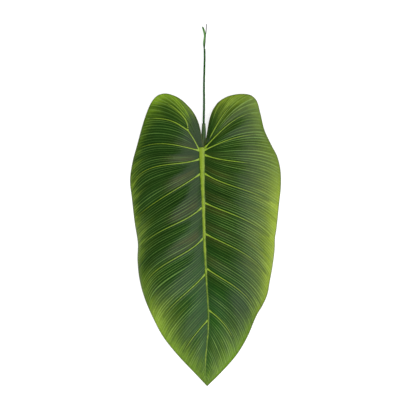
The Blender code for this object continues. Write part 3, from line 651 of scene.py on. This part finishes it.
class Paint:
    """A material with short ways to add its nodes."""

    def __init__(self, name, roughness, **settings):
        self.material = bpy.data.materials.new(name)
        self.material.use_nodes = True
        self.tree = self.material.node_tree
        self.shader = self.tree.nodes["Principled BSDF"]
        self.shader.inputs["Roughness"].default_value = roughness
        for label, value in settings.items():
            self.shader.inputs[label.replace("_", " ")].default_value = value

    def node(self, kind, **settings):
        node = self.tree.nodes.new(kind)
        for label, value in settings.items():
            setattr(node, label, value)
        return node

    def feed(self, socket, value):
        if isinstance(value, bpy.types.NodeSocket):
            self.tree.links.new(value, socket)
        else:
            socket.default_value = value

    def math(self, operation, *values, clamp=False):
        node = self.node("ShaderNodeMath", operation=operation, use_clamp=clamp)
        for socket, value in zip(node.inputs, values):
            self.feed(socket, value)
        return node.outputs[0]

    def value(self, name):
        """A number stored on the mesh's points."""
        return self.node("ShaderNodeAttribute", attribute_name=name).outputs["Fac"]

    def span(self, value, low, high, from_share=0.0, to_share=1.0):
        """The value eased from one share at low to another at high."""
        node = self.node("ShaderNodeMapRange", interpolation_type="SMOOTHSTEP")
        for socket, number in zip(node.inputs, (value, low, high, from_share, to_share)):
            self.feed(socket, number)
        return node.outputs[0]

    def mix(self, share, first, second, blend="MIX"):
        node = self.node("ShaderNodeMix", data_type="RGBA", blend_type=blend)
        for index, value in ((0, share), (6, first), (7, second)):
            self.feed(node.inputs[index], value)
        return node.outputs[2]

    def shaded(self, colour, share):
        """The colour made lighter or darker by this share."""
        return self.mix(1.0, colour, self.vector(share, share, share), "MULTIPLY")

    def vector(self, x, y, z=0.0):
        node = self.node("ShaderNodeCombineXYZ")
        for socket, value in zip(node.inputs, (x, y, z)):
            self.feed(socket, value)
        return node.outputs[0]

    def noise(self, vector, scale, detail):
        """Soft noise around 0.5. With no vector it follows the object's own metres."""
        node = self.node("ShaderNodeTexNoise")
        self.feed(node.inputs["Vector"], vector or self.places())
        self.feed(node.inputs["Scale"], scale)
        self.feed(node.inputs["Detail"], detail)
        return node.outputs["Fac"]

    def places(self):
        return self.node("ShaderNodeTexCoord").outputs["Object"]

    def weave(self, pitch):
        """Height of a plain weave with this thread pitch in mm."""
        split = self.node("ShaderNodeSeparateXYZ")
        self.feed(split.inputs[0], self.places())
        waves = [
            self.math("SINE", self.math("MULTIPLY", axis, 2 * math.pi / (pitch * MM)))
            for axis in split.outputs[:2]
        ]
        return self.math("MULTIPLY", *waves)

    def bump(self, height, depth, under=None):
        """Surface relief of this depth in mm."""
        node = self.node("ShaderNodeBump")
        self.feed(node.inputs["Height"], height)
        node.inputs["Distance"].default_value = depth * MM
        if under is not None:
            self.feed(node.inputs["Normal"], under)
        return node.outputs[0]

    def finish(self, colour, roughness=None, normal=None):
        for label, value in (("Base Color", colour), ("Roughness", roughness), ("Normal", normal)):
            if value is not None:
                self.feed(self.shader.inputs[label], value)
        return self.material


DARK_GREEN = linear((32, 61, 17))
COOL_GREEN = linear((30, 76, 22))
MARGIN_GREEN = linear((124, 168, 40))
MARGIN_YELLOW = linear((176, 195, 66))
FINE_VEIN_GREEN = linear((110, 150, 72))
FINE_VEIN_LIGHT = linear((158, 184, 84))
MAIN_VEIN_GREEN = linear((152, 184, 58))
MIDRIB_GREEN = linear((146, 172, 54))
# Darker midrib colour, used for random mottling and for painted shade at the midrib's edges
MIDRIB_MOTTLE_AND_SHADE = linear((98, 128, 38))
CUT_EDGE_OLIVE = linear((80, 92, 30))
BROWN = linear((62, 66, 22))
# Painted shadow laid beside the raised main veins
VEIN_PAINTED_SHADOW = linear((30, 52, 14))
BACK_GREEN = linear((118, 146, 92))


def print_material():
    """The blade's face: dark green print, light veins and a streaky yellow-green margin, with painted shadow
    beside the main veins and painted shade at the midrib's edges.
    """
    paint = Paint("printed_leaf_fabric", 0.2, Specular_IOR_Level=0.105)
    vein, pitch, reach, rim = (paint.value(n) for n in ("vein", "vein_pitch", "reach", "rim"))
    family = paint.value("family")
    streaks = paint.noise(
        paint.vector(paint.math("MULTIPLY", vein, 0.55), paint.math("MULTIPLY", reach, 2.2)), 1.0, 3.0,
    )
    fine_streaks = paint.noise(
        paint.vector(paint.math("MULTIPLY", vein, 2.6), paint.math("MULTIPLY", reach, 3.5)), 1.0, 2.0,
    )
    clouds = paint.noise(None, 28.0, 2.0)

    cool = paint.math("MULTIPLY", paint.span(family, 7.0, 10.5), paint.span(reach, 0.75, 0.2))
    base = paint.mix(paint.math("MULTIPLY", cool, 0.8), DARK_GREEN, COOL_GREEN)
    brown = paint.math("MULTIPLY", paint.value("brown"), paint.span(streaks, 0.35, 0.65, 0.3, 1.0))
    base = paint.mix(brown, base, BROWN)
    shade = paint.math(
        "ADD", paint.span(streaks, 0.3, 0.7, 0.8, 1.12), paint.span(clouds, 0.3, 0.7, -0.1, 0.12),
    )
    base = paint.shaded(base, shade)

    uneven = paint.span(streaks, 0.25, 0.75, -6.5, 6.5)
    uneven = paint.math("ADD", uneven, paint.span(fine_streaks, 0.25, 0.75, -4.0, 4.0))
    inward = paint.math("MAXIMUM", paint.math("ADD", paint.value("inset"), uneven), 0.0)
    scaled = paint.math("POWER", paint.math("DIVIDE", inward, paint.value("margin_width")), 1.4)
    margin = paint.math("EXPONENT", paint.math("MULTIPLY", scaled, -1.0))
    margin = paint.math("MULTIPLY", margin, paint.value("margin_light"))
    light = paint.mix(paint.value("margin_warm"), MARGIN_GREEN, MARGIN_YELLOW)
    wander = paint.noise(
        paint.vector(paint.math("MULTIPLY", vein, 0.8), paint.math("MULTIPLY", reach, 0.9)), 1.0, 1.0,
    )
    wandering = paint.math("ADD", vein, paint.span(wander, 0.2, 0.8, -0.22, 0.22))
    off_line = paint.math("PINGPONG", wandering, 0.5)
    between = paint.span(paint.value("inset"), 3.0, 18.0, 0.95, 0.62)
    streaked = paint.math("MULTIPLY", margin, paint.span(off_line, 0.04, 0.4, 1.1, between), clamp=True)
    colour = paint.mix(streaked, base, light)

    line = paint.span(off_line, 0.0, 0.18, 1.0, 0.0)
    number = paint.node("ShaderNodeTexWhiteNoise", noise_dimensions="1D")
    paint.feed(number.inputs["W"], paint.math("ROUND", wandering))
    line = paint.math("MULTIPLY", line, paint.span(number.outputs["Value"], 0.1, 0.9, 0.3, 0.95))
    left = paint.span(vein, 0.8 * RIGHT_FINE_VEINS, 0.6 * RIGHT_FINE_VEINS)
    upper_left = paint.math("MULTIPLY", left, paint.span(family, 8.2, 6.8))
    line = paint.math("MULTIPLY", line, paint.span(upper_left, 0.0, 1.0, 1.05, 0.76))
    line = paint.math("MULTIPLY", line, paint.span(pitch, 0.6, 2.4, 0.3, 1.0))
    line = paint.math("MULTIPLY", line, paint.span(reach, 0.03, 0.3, 0.4, 1.0))
    line = paint.math("MULTIPLY", line, paint.span(rim, 0.5, 5.0))
    colour = paint.mix(line, colour, paint.mix(margin, FINE_VEIN_GREEN, FINE_VEIN_LIGHT))

    from_rib = paint.value("rib")
    # Painted shadow: a dark band along both sides of each raised main vein, fading out over 1.7 mm
    colour = paint.mix(paint.span(from_rib, 0.1, 1.7, 0.45, 0.0), colour, VEIN_PAINTED_SHADOW)
    rib = paint.span(from_rib, -0.3, 0.22, 1.0, 0.0)
    rib = paint.math("MULTIPLY", rib, paint.span(reach, 0.0, 1.0, 0.95, 0.6))
    colour = paint.mix(rib, colour, MAIN_VEIN_GREEN)

    inside = paint.value("band")
    # Random mottling, weighted so that the midrib also gets painted shade towards the edges of its band
    mottling_and_edge_shade = paint.math("MULTIPLY", paint.noise(None, 160.0, 3.0), paint.span(inside, -0.2, -1.6, 1.3, 0.75))
    midrib = paint.mix(paint.span(mottling_and_edge_shade, 0.38, 0.72), MIDRIB_GREEN, MIDRIB_MOTTLE_AND_SHADE)
    colour = paint.mix(paint.span(inside, -0.3, 0.3, 1.0, 0.0), colour, midrib)
    edge = paint.span(rim, 0.3, 1.3, 0.75, 0.0)
    colour = paint.mix(edge, colour, CUT_EDGE_OLIVE)

    grain = paint.span(paint.noise(None, 650.0, 3.0), 0.3, 0.7, 0.9, 1.1)
    colour = paint.shaded(colour, grain)
    cloth = paint.bump(paint.weave(WEAVE_PITCH), 0.006)
    embossed = paint.bump(fine_streaks, 0.05, cloth)
    return paint.finish(colour, paint.span(clouds, 0.3, 0.7, 0.12, 0.18), embossed)


def back_material():
    """The blade's back: the plain side of the cloth, where the print shows through a little."""
    paint = Paint("fabric_back", 0.7)
    clouds = paint.noise(None, 40.0, 3.0)
    fleck = paint.noise(None, 900.0, 2.0)
    shade = paint.math(
        "ADD", paint.span(clouds, 0.3, 0.7, 0.86, 1.04), paint.span(fleck, 0.3, 0.7, -0.08, 0.08),
    )
    colour = paint.shaded(BACK_GREEN, shade)
    margin = paint.span(paint.value("rim"), 0.0, 22.0, 0.35, 0.0)
    colour = paint.mix(margin, colour, MARGIN_GREEN)
    return paint.finish(colour, None, paint.bump(paint.weave(WEAVE_PITCH), 0.02))


def spine_material():
    """Moulded dull green plastic, slightly mottled."""
    paint = Paint("moulded_spine_plastic", 0.42, Specular_IOR_Level=0.3)
    clouds = paint.noise(None, 160.0, 3.0)
    colour = paint.mix(paint.span(clouds, 0.35, 0.7), linear((66, 102, 46)), linear((88, 112, 54)))
    grain = paint.bump(paint.noise(None, 2500.0, 2.0), 0.02)
    return paint.finish(colour, paint.span(clouds, 0.3, 0.7, 0.38, 0.5), grain)


def tape_material():
    """Waxed crepe paper tape, lighter and darker across each turn, with painted shade in the crease at each
    lap's edge.
    """
    paint = Paint("waxed_crepe_tape", 0.65, Specular_IOR_Level=0.09)
    grain = paint.noise(None, 1400.0, 3.0)
    colour = paint.mix(paint.value("wrap_shade"), linear((6, 60, 8)), linear((28, 88, 18)))
    colour = paint.mix(paint.span(grain, 0.3, 0.7, 0.0, 0.35), colour, linear((52, 112, 34)))
    # Painted shade: a dark line in the crease at each lap's edge
    colour = paint.mix(paint.value("lap_edge_shade"), colour, linear((8, 34, 10)))
    colour = paint.mix(paint.value("tail_green"), colour, linear((104, 158, 80)))
    return paint.finish(colour, None, paint.bump(grain, 0.06))


def wire_material():
    """Drawn steel wire, dulled."""
    paint = Paint("drawn_steel_wire", 0.38, Metallic=0.9)
    dull = paint.noise(None, 700.0, 3.0)
    colour = paint.mix(paint.span(dull, 0.3, 0.7), linear((26, 26, 34)), linear((48, 48, 58)))
    return paint.finish(colour, paint.span(dull, 0.3, 0.7, 0.4, 0.6))


def rings_along(points, radii, sides):
    """Rings of points square to the line, one at each of its points."""
    ahead = np.gradient(points, axis=0)
    ahead /= np.linalg.norm(ahead, axis=1)[:, None]
    across = np.cross(ahead, (0.0, 0.0, 1.0))
    across /= np.linalg.norm(across, axis=1)[:, None]
    up = np.cross(across, ahead)
    turn = np.arange(sides) * 2 * math.pi / sides
    spread = np.cos(turn)[None, :, None] * across[:, None] + np.sin(turn)[None, :, None] * up[:, None]
    return points[:, None] + np.asarray(radii)[..., None] * spread


def tube_faces(rings, sides, first=0):
    """Quads between rings of points and a cap on each end, all facing out."""
    faces = []
    for ring in range(rings - 1):
        for side in range(sides):
            a = first + ring * sides + side
            b = first + ring * sides + (side + 1) % sides
            faces.append((a, a + sides, b + sides, b))
    faces.append(tuple(first + side for side in range(sides)))
    faces.append(tuple(first + (rings - 1) * sides + side for side in reversed(range(sides))))
    return faces


def make_tape(material):
    """The wound tape, each turn lapping over the last, and its loose tail."""
    line = Rail(smooth_line(STEM_AXIS, 40))
    start = line.run[np.argmax(line.points[:, 1] >= TAPE_START_Y)]
    stops = np.arange(start, line.run[-1], TAPE_STEP)
    centres = line.at(stops)
    turn = stops[:, None] / TAPE_WRAP_PITCH - np.arange(TAPE_SIDES) / TAPE_SIDES
    place = turn % 1.0
    radius = np.interp(centres[:, 1], TAPE_NARROWS_BETWEEN, (TAPE_RADIUS, TAPE_END_RADIUS))[:, None]
    lap = TAPE_LAP * (1 - place) * ease(place, 0.0, TAPE_LAP_EDGE)
    wrinkle = TAPE_WRINKLE * np.sin(stops[:, None] * 9.0 + 3.0 * np.sin(2 * math.pi * turn))
    rings = rings_along(centres, radius - 0.6 * TAPE_LAP + lap + wrinkle, TAPE_SIDES)
    shade = 0.5 + 0.5 * np.cos(2 * math.pi * (place - 0.55))
    # Painted shade along the crease where each lap's edge steps down
    edge = 0.8 * (1 - ease(abs(place - 0.02), 0.0, TAPE_LAP_EDGE))
    points = rings.reshape(-1, 3)
    faces = tube_faces(len(stops), TAPE_SIDES)
    tail = smooth_line(TAPE_TAIL, 8)
    section = np.linspace(0, 2 * math.pi, TAIL_SIDES, endpoint=False)
    tail_points = []
    for x, y, z, half, twist in tail:
        turn = math.radians(twist)
        wide, thick = half * np.cos(section), TAIL_HALF_THICKNESS * np.sin(section)
        tail_points.append(np.column_stack([
            x + wide * math.cos(turn) - thick * math.sin(turn), np.full(TAIL_SIDES, y),
            z + wide * math.sin(turn) + thick * math.cos(turn),
        ]))
    faces += tube_faces(len(tail), TAIL_SIDES, len(points))
    points = np.vstack([points, *tail_points])
    green = 0.8 * ease(tail[:, 1], 190.0, 196.0) * (1 - 0.6 * ease(tail[:, 1], 208.0, 213.0))
    green = np.repeat(green, TAIL_SIDES)
    values = {
        "wrap_shade": np.concatenate([shade.ravel(), np.full(len(green), 0.4)]),
        "lap_edge_shade": np.concatenate([edge.ravel(), np.zeros(len(green))]),
        "tail_green": np.concatenate([np.zeros(shade.size), green]),
    }
    tape = make_object("stem_tape_wound", points, faces, [material], values, sharp_angle=60.0)
    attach(tape, "root")
    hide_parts("stem_tape")


def make_wire(material):
    """The round wire, with its cut end rounded a little."""
    line = Rail(smooth_line(STEM_AXIS + WIRE_END, 24))
    length = line.run[-1]
    between = np.arange(2 * WIRE_END_ROUNDING, length - 2 * WIRE_END_ROUNDING, WIRE_STEP)
    stops = np.concatenate([[0.0], between, length - np.array([WIRE_END_ROUNDING, 0.0])])
    radii = np.full(len(stops), WIRE_RADIUS)
    radii[-1] = WIRE_END_RADIUS
    rings = rings_along(line.at(stops), radii[:, None], WIRE_SIDES)
    wire = make_object(
        "stem_wire_drawn", rings.reshape(-1, 3), tube_faces(len(stops), WIRE_SIDES), [material],
    )
    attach(wire, "root")
    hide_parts("stem_wire")


def dress_spine(material):
    """The moulded spine keeps its solid and gets its finish."""
    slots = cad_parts["back_spine"].data.materials
    slots.clear()
    slots.append(material)


def make_floor():
    """A light table: pale, and lit from inside enough to hold no dark shadow in the notch."""
    paint = Paint("pale_studio_floor", 0.8, Emission_Color=(1.0, 1.0, 1.0, 1.0), Emission_Strength=FLOOR_GLOW)
    shade = paint.span(paint.noise(None, 3.0, 2.0), 0.2, 0.8)
    paint.finish(paint.mix(shade, *((grey, grey, grey, 1.0) for grey in FLOOR_SHADES)))
    half, drop = FLOOR_SIZE / 2 * MM, FLOOR_DROP * MM
    mesh = bpy.data.meshes.new("studio_floor")
    corners = [(x, y, -drop) for x, y in ((-half, -half), (half, -half), (half, half), (-half, half))]
    mesh.from_pydata(corners, [], [(0, 1, 2, 3)])
    mesh.materials.append(paint.material)
    floor = bpy.data.objects.new("studio_floor", mesh)
    bpy.context.scene.collection.objects.link(floor)


def make_softbox(name, height, left, right, front, back, radiance):
    light = bpy.data.lights.new(name, "AREA")
    light.shape = "RECTANGLE"
    light.size = (right - left) * MM
    light.size_y = (back - front) * MM
    light.energy = radiance * math.pi * light.size * light.size_y
    thing = bpy.data.objects.new(name, light)
    thing.location = ((left + right) / 2 * MM, (front + back) / 2 * MM, height * MM)
    thing.visible_camera = False
    bpy.context.scene.collection.objects.link(thing)


def make_sky():
    """Soft light from a band all round, dark overhead and dim low down, so the print has no glare."""
    world = bpy.data.worlds.new("studio_surround")
    world.use_nodes = True
    tree = world.node_tree
    background = tree.nodes["Background"]
    background.inputs["Color"].default_value = (1.0, 1.0, 1.0, 1.0)
    place = tree.nodes.new("ShaderNodeTexCoord")
    split = tree.nodes.new("ShaderNodeSeparateXYZ")
    tree.links.new(place.outputs["Generated"], split.inputs[0])
    product = tree.nodes.new("ShaderNodeMath")
    product.operation = "MULTIPLY"
    edges = (
        (SKY_BRIGHT_ANGLE, SKY_DARK_ANGLE, SKY_RADIANCE, SKY_OVERHEAD_RADIANCE),
        (*SKY_HORIZON_ANGLES, SKY_HORIZON_SHARE, 1.0),
    )
    for socket, (first_angle, second_angle, first, second) in zip(product.inputs, edges):
        spread = tree.nodes.new("ShaderNodeMapRange")
        spread.interpolation_type = "SMOOTHSTEP"
        limits = (math.cos(math.radians(first_angle)), math.cos(math.radians(second_angle)), first, second)
        for number_socket, number in zip(spread.inputs[1:5], limits):
            number_socket.default_value = number
        tree.links.new(split.outputs["Z"], spread.inputs[0])
        tree.links.new(spread.outputs[0], socket)
    tree.links.new(product.outputs[0], background.inputs["Strength"])
    bpy.context.scene.world = world


def make_camera():
    data = bpy.data.cameras.new("photo_camera")
    data.lens = CAMERA_LENS
    data.clip_end = 20.0
    camera = bpy.data.objects.new("photo_camera", data)
    camera.location = [c * MM for c in CAMERA_PLACE]
    bpy.context.scene.collection.objects.link(camera)
    bpy.context.scene.camera = camera


make_camera()
make_blade(print_material(), back_material())
make_tape(tape_material())
make_wire(wire_material())
dress_spine(spine_material())
make_floor()
for softbox_name, softbox in SOFTBOXES.items():
    make_softbox(softbox_name, *softbox)
make_sky()
bpy.context.scene.view_settings.view_transform = "Standard"
